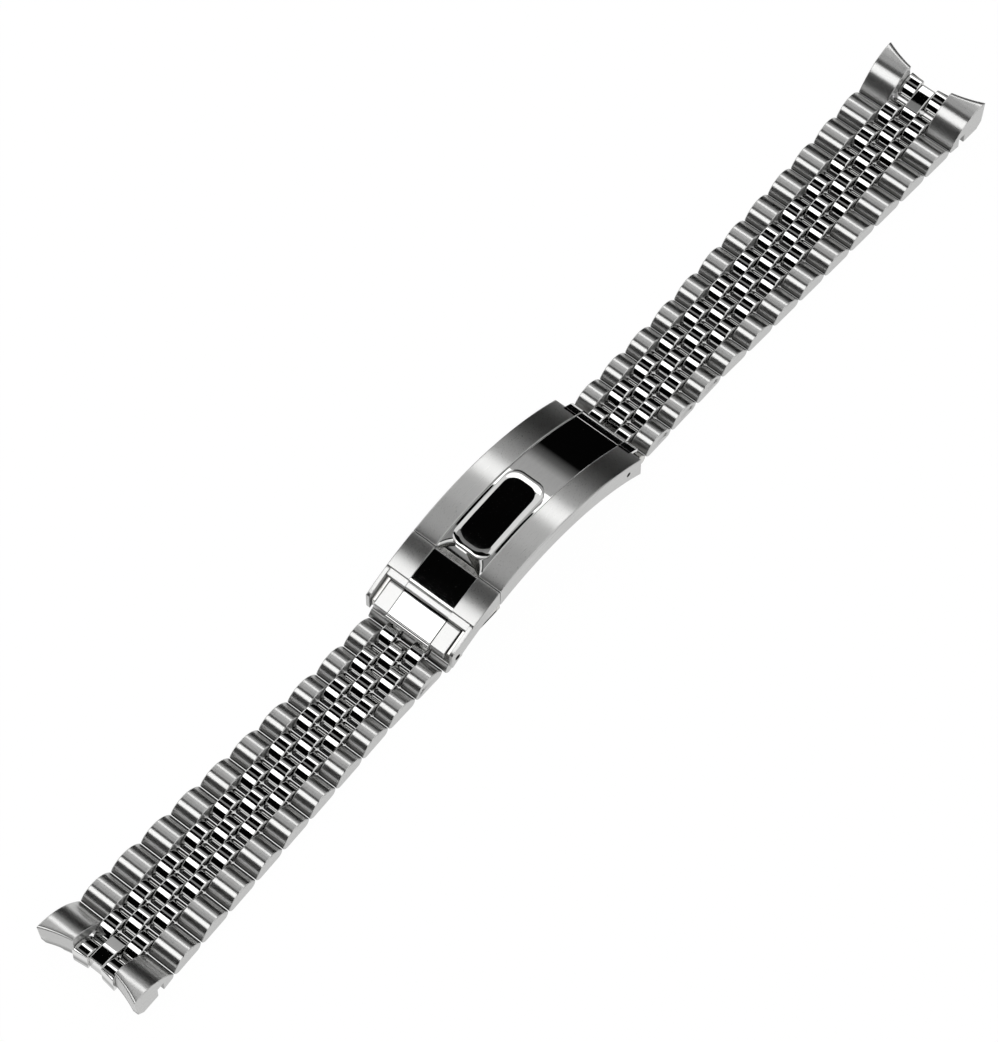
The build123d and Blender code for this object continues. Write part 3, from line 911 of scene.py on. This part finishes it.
@dataclass
class ClaspCover:
    """The arched cover: brushed rails, a polished strip with a raised shield, a scoop and a lip."""

    shop: Workshop
    half: float = 8.95
    seam: float = -19.6
    end: float = 15.9
    thickness: float = 1.1
    wall: float = 1.0
    wall_depth: float = 3.9
    strip_half: float = 4.4
    strip_recess: float = 0.25
    strip_points: int = 49
    lip_half: float = 6.85
    lip_start: float = 14.9
    lip_end: float = 17.8
    lip_thickness: float = 0.9
    lip_edge: float = 0.3
    shield_offset: float = 2.0
    shield_length: float = 16.6
    shield_half: float = 3.7
    shield_corner: float = 2.2
    shield_bevel: float = 0.75
    shield_drop: float = 0.16
    shield_root: float = 0.6
    shield_line: Arch = Arch(radius=97.0, height=12.5, middle=-2.9)
    scoop_radius: float = 4.6
    scoop_setback: float = 1.6
    scoop_depth: float = 0.6
    scoop_dish: float = 0.1
    rim_width: float = 0.7
    rim_slope: float = 0.25
    outer: float = 8.05
    tray_wall: float = 0.7
    tray_wall_depth: float = 1.05
    tray_overlap: float = 0.1
    floor_top: float = 4.05
    floor_bottom: float = 3.35
    bulkhead: float = 0.9
    tray_end: float = -27.1
    wall_bend: float = -25.0
    wall_end: float = -31.1

    def rails(self) -> list[Shell]:
        """The brushed rails with the side walls under them."""
        section = angle_bar(self.strip_half, self.half, self.half - self.wall, self.thickness,
                            self.wall_depth, [0.2, 0.3, 0.2, 0.2, 0.3, 0.2])
        return both_sides(ARCH.carried(section, self.seam, self.end, 0.1, 64))

    def scoop_line(self, y: np.ndarray) -> np.ndarray:
        """Where the scoop's circular rim crosses the strip at y."""
        middle = self.seam - self.scoop_setback
        room = np.maximum(self.scoop_radius ** 2 - y ** 2, 0)
        return np.maximum(middle + np.sqrt(room), self.seam)

    def strip(self) -> list[Shell]:
        """The polished strip, whose lower end is the scoop's rim, and the scoop's dished floor."""
        across = np.linspace(-self.strip_half, self.strip_half, self.strip_points)
        over = paired(across, self.strip_recess)
        under = paired(across[::-1], self.thickness)
        strip = ARCH.carried(np.concatenate([over, under]), self.scoop_line, self.end, 0.15, 120)
        ahead = strip.points[:, 0] - self.scoop_line(strip.points[:, 1])
        strip.points[:, 2] -= self.rim_slope * np.clip(self.rim_width - ahead, 0, self.rim_width)
        floor = self.strip_recess + self.scoop_depth
        over = paired(across, floor - self.scoop_dish * (across / self.strip_half) ** 2)
        dish = ARCH.carried(np.concatenate([over, under]), self.seam, self.scoop_line, 0.05, 12)
        return [strip, dish]

    def shield(self) -> Shell:
        """The raised shield: rings from its foot, up its side, over its bevel to its face.

        The face is flatter than the cover and tips up at its upper end, where the bevel is wide.
        """
        low = self.seam + self.shield_offset
        high = low + self.shield_length
        foot = box_line(low, high, self.shield_half, self.shield_corner)
        face = box_line(low + self.shield_bevel, high - 2 * self.shield_bevel,
                        self.shield_half - self.shield_bevel, self.shield_corner)
        share = np.array([0, 0, 0.05, 0.5, 0.96, 1.05])
        drop = np.array([0, 1.3, 1, 0.5, 0.04, 0]) * self.shield_drop
        rings = foot[None] * (1 - share)[:, None, None] + face[None] * share[:, None, None]
        middle = np.array([(low + high) / 2, 0])
        inward = np.linspace(1, 0.02, 14)[1:, None, None]
        plan = np.concatenate([rings, middle + (rings[-1] - middle) * inward])
        drop = np.concatenate([drop, np.zeros(len(inward))])[:, None]
        z = self.shield_line.z(0, plan[..., 0]) - drop
        z[0] = ARCH.z(self.shield_root, foot[:, 0])
        return loft(np.concatenate([plan, z[..., None]], -1))

    def lip(self) -> Shell:
        """The thin lip past the cover's end, a little recessed between the rails' ends."""
        half, inner = self.lip_half, self.strip_half
        left = [(inner - 0.02, self.strip_recess), (inner, 0), (half, 0),
                (half, self.lip_thickness)]
        right = [(-y, depth) for y, depth in left[::-1]]
        section = rounded(right[1:] + left + right[:1], 0.08, 2)
        return ARCH.carried(section, self.lip_start, self.lip_end, self.lip_edge, 8)

    def tray(self) -> list[Shell]:
        """The bulkhead, floor and low walls under the catch."""
        top = float(ARCH.z(self.thickness / 2, self.seam))
        low, high = self.floor_bottom, self.seam + self.tray_overlap
        bulkhead = prism(slab(self.seam, self.seam + self.bulkhead, low, top, 0.08),
                         -self.outer, self.outer, 0.1)
        floor = prism(slab(self.tray_end, high, low, self.floor_top, 0.12),
                      -self.outer, self.outer, 0.12)
        rim = ARCH.z(self.tray_wall_depth, np.array([self.seam, self.wall_bend, self.wall_end]))
        wall = prism(rounded([(self.wall_end, low), (high, low), (high, rim[0]),
                              (self.wall_bend, rim[1]), (self.wall_end, rim[2])], 0.15),
                     self.outer - self.tray_wall, self.outer, 0.1)
        return [bulkhead, floor, *both_sides(wall)]

    def build(self) -> None:
        """Builds the cover's pieces."""
        wear = self.shop.wardrobe
        for name, shells, finish in (("rails", self.rails(), wear.brushed),
                                     ("strip", self.strip(), wear.polished),
                                     ("shield", [self.shield()], wear.polished),
                                     ("lip", [self.lip()], wear.polished),
                                     ("tray", self.tray(), wear.pressed)):
            self.shop.piece(f"cover_{name}", shells, finish, "clasp_cover", main=name == "rails")


@dataclass
class SafetyCatch:
    """The flip-over catch: brushed wings, a polished middle, a stepped lip and two arms."""

    shop: Workshop
    half: float = 8.95
    high: float = -19.72
    low: float = -27.22
    lip: float = 1.1
    lip_recess: float = 0.3
    tongue_recess: float = 0.42
    thickness: float = 0.9
    arm_inner: float = 8.15
    arm_depth: float = 3.0
    arm_end: float = -31.45
    overlap: float = 0.12
    strip_half: float = 4.4
    strip_recess: float = 0.25
    panel_line: Arch = Arch(radius=75.0, height=12.59, middle=-2.34)

    def build(self) -> None:
        """Builds the wings with their arms and stepped lip, and the middle panel."""
        shop, edge = self.shop, self.low + self.lip
        wing = angle_bar(self.strip_half, self.half, self.arm_inner, self.thickness,
                         self.arm_depth, [0.08, 0.25, 0.15, 0.08, 0.2, 0.05])
        arm = slab(self.arm_inner, self.half, 0, self.arm_depth, [0.1, 0.25, 0.15, 0.08])
        step = slab(self.strip_half, self.arm_inner + 0.05, self.lip_recess, self.thickness,
                    0.06, 2)
        tongue, panel = (slab(-self.strip_half, self.strip_half, top, self.thickness, 0.04, 2)
                         for top in (self.tongue_recess, self.strip_recess))
        wings = both_sides(ARCH.carried(wing, edge, self.high, 0.1, 16),
                           ARCH.carried(arm, self.arm_end, edge + self.overlap, 0.1, 10),
                           ARCH.carried(step, self.low, edge + self.overlap, 0.1, 6))
        wings.append(ARCH.carried(tongue, self.low, edge + 0.1, 0.2, 6))
        shop.piece("catch_wings", wings, shop.wardrobe.brushed, "safety_catch", main=True)
        shop.piece("catch_middle", [self.panel_line.carried(panel, edge, self.high, 0.12, 14)],
                   shop.wardrobe.polished, "safety_catch")


@dataclass
class ExtensionSlide:
    """The block that slides out from under the catch, with the lugs of the short strand."""

    shop: Workshop
    shape: LinkShape = LinkShape()
    half: float = 7.2
    inner: float = -21.5
    shelf: float = -27.22
    shelf_depth: float = 0.9
    shelf_gap: float = 0.15
    step: float = -27.52
    outer: float = -31.7
    bottom: float = 4.2
    top_depth: float = 0.6
    middle_half: float = 4.34
    middle_lift: float = 0.1
    bar_radius: float = 0.55
    strip_half: float = 4.4
    pin: float = -30.55
    root: float = -28.87
    neck: tuple[float, float] = (-28.57, -27.87)
    root_bottom: float = 0.75
    root_top: float = 2.7
    neck_top: float = 4.4
    lug_half: float = 8.0
    lug_edge: float = 0.15

    def block(self, low: float, high: float, lift: float) -> Shell:
        """A slice of the wedge block between two y, its sloping top raised a little."""
        shelf = float(ARCH.z(self.shelf_depth, self.shelf)) - self.shelf_gap
        end = float(ARCH.z(self.top_depth, self.outer)) + lift
        outline = rounded([(self.outer, self.bottom), (self.inner, self.bottom),
                           (self.inner, shelf), (self.shelf, shelf), (self.step, shelf + lift),
                           (self.outer, end)], [0.2, 0.1, 0.1, 0.1, 0.1, 0.3])
        return prism(outline, low, high, 0.1)

    def lugs(self) -> list[Shell]:
        """The lugs: the near end of a link piece on a root, whose neck rises into the block."""
        out, back = self.neck
        root = [(out, self.root_top), (out, self.neck_top), (back, self.neck_top),
                (back, self.root_bottom), (self.root, self.root_bottom)]
        end = self.shape.side(self.pin + self.shape.pin_offset, -1, 9)
        outline = counter_clockwise(np.concatenate([end, root]))
        return self.shape.lugs(outline, self.lug_half, self.lug_edge)

    def build(self) -> None:
        """Builds the slide's rails, its polished middle, its bar and its lugs."""
        shop = self.shop
        rails = both_sides(self.block(self.strip_half, self.half, 0.0))
        shop.piece("slide_rails", rails + self.lugs(), shop.wardrobe.brushed, "extension_slide",
                   main=True)
        middle = self.block(-self.middle_half, self.middle_half, self.middle_lift)
        bar = rod(self.outer, self.bottom + self.bar_radius, self.bar_radius, -self.strip_half,
                  self.strip_half)
        shop.piece("slide_middle", [middle, bar], shop.wardrobe.polished, "extension_slide")


@dataclass
class FoldingLeaves:
    """The two leaves under the cover, with their knuckles and the long strand's lugs."""

    shop: Workshop
    shape: LinkShape = LinkShape()
    half: float = 7.2
    knuckle: float = 0.9
    tongue_half: float = 3.4
    tongue_gap: float = 0.1
    window_half: float = 3.0
    window_length: float = 12.0
    window_corner: float = 0.8
    cover_hinge: tuple[float, float] = (12.6, 4.985)
    leaf_hinge: tuple[float, float] = (-17.2, 8.978)
    plate_start: float = -15.95
    tab_end: float = -15.55
    upper_depth: tuple[float, float] = (1.3, 2.2)
    lower_depth: tuple[float, float] = (2.4, 3.4)
    dip: float = 10.1
    dip_thickness: float = 1.0
    hinge_gap: float = 0.2
    root: float = 15.67
    lug_pin: float = 17.35
    lug_half: float = 7.55
    lug_edge: float = 0.2

    def plate(self, high: float, corner: float, depths: tuple[float, float]) -> Shell:
        """A leaf's windowed curved plate, from the leaf hinge to a high end."""
        middle = (self.cover_hinge[0] + self.leaf_hinge[0]) / 2
        reach = self.window_length / 2
        return ARCH.frame_plate(
            box_line(self.plate_start, high, self.half, corner),
            box_line(middle - reach, middle + reach, self.window_half, self.window_corner),
            *depths)

    def tab(self, near: float, far: float, depths: tuple[float, float]) -> Shell:
        """The part of a leaf between its plate and its knuckle on the leaf hinge."""
        return ARCH.carried(slab(near, far, *depths, 0.1, 2), self.leaf_hinge[0], self.tab_end,
                            0.05, 6)

    def upper(self) -> list[Shell]:
        """The upper leaf: a windowed curved plate, a knuckle at each end."""
        tongue = self.tongue_half
        return [self.plate(self.cover_hinge[0], 0.3, self.upper_depth),
                self.tab(-tongue, tongue, self.upper_depth),
                rod(*self.cover_hinge, self.knuckle, -self.half, self.half, 28),
                rod(*self.leaf_hinge, self.knuckle, -tongue, tongue, 28)]

    def lower(self) -> list[Shell]:
        """The lower leaf: a windowed curved plate, its knuckles, its dip and the strand's lugs."""
        shape, near, root = self.shape, self.tongue_half + self.tongue_gap, self.root
        upper, lower = (float(ARCH.z(depth, self.dip)) for depth in self.lower_depth)
        top = self.cover_hinge[1] - self.knuckle - self.hinge_gap
        bottom = top - self.dip_thickness
        end = self.cover_hinge[0] - self.knuckle
        dip = prism(rounded([(self.dip, lower), (end - 0.5, bottom), (root + 0.1, bottom),
                             (root + 0.1, top), (end, top), (self.dip, upper)], 0.15),
                    -self.half, self.half)
        tabs = [self.tab(side * near, side * self.half, self.lower_depth) for side in (-1, 1)]
        knuckles = both_sides(rod(*self.leaf_hinge, self.knuckle, near, self.half, 28))
        outline = counter_clockwise(np.concatenate([
            shape.side(self.lug_pin - shape.pin_offset, 1, 9), [(root, top), (root, bottom)]]))
        return [self.plate(self.dip + 0.1, 0.2, self.lower_depth), dip, *tabs, *knuckles,
                *shape.lugs(outline, self.lug_half, self.lug_edge)]

    def build(self) -> None:
        """Builds both leaves."""
        for body, shells in (("upper_leaf", self.upper()), ("lower_leaf", self.lower())):
            self.shop.piece(f"{body}_plate", shells, self.shop.wardrobe.pressed, body, main=True)


# ---------------------------------------------------------------- studio


@dataclass(frozen=True)
class Card:
    """A matt card that only reflections see, curved round the bracelet's cross axis.

    low and high are the angles in degrees of its lower and upper edge, from +X over the top
    towards -X. right and left are the y of its ends in metres. Its colour runs evenly from the
    lower edge's hex code to the upper edge's.
    """

    name: str
    low: float
    high: float
    right: float
    left: float
    lower: str = BLACK
    upper: str = BLACK


@dataclass(frozen=True)
class SoftBox:
    """A soft box: its angle as a card's, its width and length in metres, its power in watts."""

    name: str
    angle: float
    width: float
    length: float
    power: float


@dataclass
class Studio:
    """Pale floor, white surroundings, two soft boxes, black and grey cards and the camera."""

    azimuth: float = -50.442
    elevation: float = 59.773
    distance: float = 0.7369
    focal_pixels: float = 4586.66
    image_width: int = 998
    target: tuple[float, float, float] = (-0.0050, 0.003474, 0.0)
    sensor: float = 36.0
    floor_radius: float = 3.0
    floor_points: int = 64
    floor_drop: float = 0.0001
    glow_share: float = 0.97
    card_radius: float = 1.3
    card_steps: int = 24
    box_distance: float = 1.0
    box_side: float = 0.34
    boxes: tuple[SoftBox, ...] = (SoftBox("soft_box_far", 54.5, 0.17, 0.6, 0.46),
                                  SoftBox("soft_box_near", 116.3, 0.37, 0.6, 1.05))
    cards: tuple[Card, ...] = (
        Card("card_far", -16, 20, -5.0, 5.0),
        Card("card_far_middle", 20, 26, -0.65, 1.55),
        Card("card_far_edge", 26, 30, -0.15, 1.05),
        Card("card_far_dim", 30, 35, -0.15, 1.05, BLACK, "#6A6A6A"),
        Card("card_far_grey", 35, 40, -1.2, 2.0, "#6A6A6A", "#B5B5B5"),
        Card("card_far_pale", 40, 49.5, -2.0, 3.0, "#B5B5B5", "#C0C0C0"),
        Card("card_top", 60, 75, 0.28, 0.62),
        Card("card_top_wide", 75, 83, 0.16, 0.74),
        Card("card_top_grey", 83, 92, 0.0, 0.9, "#8A8A8A", "#A0A0A0"),
        Card("card_ridge", 92, 105.5, -2.5, 3.3),
        Card("card_near", 127, 156, -1.2, 2.0),
        Card("card_low", 163, 190, -1.2, 2.0))

    def camera(self) -> None:
        """The camera at the photograph's view.

        Its own z axis points from the target back to it: (sin a cos e, -cos a cos e, sin e).
        """
        a, e = math.radians(self.azimuth), math.radians(self.elevation)
        back = Vector((math.sin(a) * math.cos(e), -math.cos(a) * math.cos(e), math.sin(e)))
        right = Vector((math.cos(a), math.sin(a), 0))
        up = back.cross(right)
        data = bpy.data.cameras.new("camera")
        data.sensor_fit = "HORIZONTAL"
        data.sensor_width = self.sensor
        data.lens = self.focal_pixels / self.image_width * self.sensor
        eye = placed("camera", data)
        turned = Matrix((right, up, back)).transposed().to_4x4()
        eye.matrix_world = Matrix.Translation(Vector(self.target) + back * self.distance) @ turned
        bpy.context.scene.camera = eye

    def world(self) -> None:
        """White surroundings for the camera and in reflections, a plain level as light."""
        world = bpy.data.worlds.new("surroundings")
        bpy.context.scene.world = world
        tree = fresh_tree(world)
        light, white = (
            add_node(tree, "ShaderNodeBackground",
                     {"Color": linear(code), "Strength": strength}).outputs["Background"]
            for code, strength in (("#F4F4F4", 0.8), ("#FFFFFF", 1.0)))
        mixed = add_node(tree, "ShaderNodeMixShader", {0: looked_at(tree), 1: light, 2: white})
        add_node(tree, "ShaderNodeOutputWorld", {"Surface": mixed.outputs["Shader"]})

    def floor(self) -> None:
        """A floor of white paper, which shows white and keeps a soft shadow."""
        made = bpy.data.materials.new("floor_white_paper")
        tree = fresh_tree(made)
        share = reckoned(tree, "MULTIPLY", looked_at(tree), self.glow_share)
        paper = add_node(tree, "ShaderNodeBsdfDiffuse", {"Color": linear("#F2F2F0")})
        glow = add_node(tree, "ShaderNodeEmission", {"Color": linear("#FFFFFF"), "Strength": 1.01})
        mixed = add_node(tree, "ShaderNodeMixShader", {0: share, 1: paper.outputs["BSDF"],
                                                       2: glow.outputs["Emission"]})
        add_node(tree, "ShaderNodeOutputMaterial", {"Surface": mixed.outputs["Shader"]})
        turn = np.linspace(0, 2 * math.pi, self.floor_points, endpoint=False)
        ring = paired(self.floor_radius * np.cos(turn), self.floor_radius * np.sin(turn),
                      -self.floor_drop)
        mesh = bpy.data.meshes.new("floor")
        mesh.from_pydata(ring.tolist(), [], [list(range(self.floor_points))])
        mesh.materials.append(made)
        placed("floor", mesh)

    def card(self, card: Card) -> None:
        """Builds a card of cloth that glows evenly, so that a reflection shows its own tone."""
        made = bpy.data.materials.new(f"{card.name}_cloth")
        tree = fresh_tree(made)
        share = add_node(tree, "ShaderNodeAttribute", attribute_name="share").outputs["Fac"]
        colour = ramp(tree, share, (0.0, card.lower), (1.0, card.upper))
        cloth = add_node(tree, "ShaderNodeEmission", {"Color": colour, "Strength": 1.0})
        add_node(tree, "ShaderNodeOutputMaterial", {"Surface": cloth.outputs["Emission"]})
        turn = np.radians(np.linspace(card.low, card.high, self.card_steps))[:, None]
        points = paired(self.card_radius * np.cos(turn), [card.right, card.left],
                        self.card_radius * np.sin(turn))
        faces = np.arange(self.card_steps - 1)[:, None] * 2 + (0, 1, 3, 2)
        mesh = bpy.data.meshes.new(card.name)
        mesh.from_pydata(points.reshape(-1, 3).tolist(), [], faces.tolist())
        mesh.materials.append(made)
        shares = mesh.attributes.new("share", "FLOAT", "POINT")
        shares.data.foreach_set("value", np.repeat(np.linspace(0, 1, self.card_steps), 2))
        thing = placed(card.name, mesh)
        thing.visible_camera = False
        thing.visible_diffuse = False
        thing.visible_shadow = False
        thing.visible_transmission = False

    def soft_box(self, box: SoftBox) -> None:
        """Builds a soft box whose face looks at the bracelet."""
        data = bpy.data.lights.new(box.name, "AREA")
        data.shape = "RECTANGLE"
        data.size, data.size_y = box.width, box.length
        data.energy = box.power
        lamp = placed(box.name, data)
        turn = math.radians(box.angle)
        away = Vector((math.cos(turn), 0.0, math.sin(turn)))
        side = Vector((0, 1, 0))
        place = away * self.box_distance + side * self.box_side
        lamp.matrix_world = (Matrix.Translation(place)
                             @ Matrix((side.cross(away), side, away)).transposed().to_4x4())
        lamp.visible_camera = False

    def build(self) -> None:
        """Sets up the studio."""
        self.world()
        self.floor()
        for card in self.cards:
            self.card(card)
        for box in self.boxes:
            self.soft_box(box)
        self.camera()
        bpy.context.scene.view_settings.view_transform = "Standard"


def main() -> None:
    """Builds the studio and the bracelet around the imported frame."""
    logging.basicConfig(level=logging.INFO, format="%(message)s")
    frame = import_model()
    shop = Workshop()
    strands = (Strand(shop, "long", start=19.0, direction=1, count=12, tapered=9, screws=3),
               Strand(shop, "short", start=-32.2, direction=-1, count=10, tapered=8, screws=1))
    for strand in strands:
        strand.build()
    for strand in strands:
        EndLink(shop, f"{strand.name}_end_link", strand.joint, strand.direction).build()
    for assembly in (ClaspCover, SafetyCatch, ExtensionSlide, FoldingLeaves):
        assembly(shop).build()
    for name in ("cover_hinge_pin", "leaf_hinge_pin", "catch_hinge_pins", "lower_leaf_lug_pin",
                 "slide_lug_pin"):
        shop.dress(frame["nodes"][name], shop.wardrobe.turned)
    shop.dress(frame["nodes"]["latch_spring"], shop.wardrobe.pressed)
    Studio().build()
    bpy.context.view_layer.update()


if __name__ == "__main__":
    main()
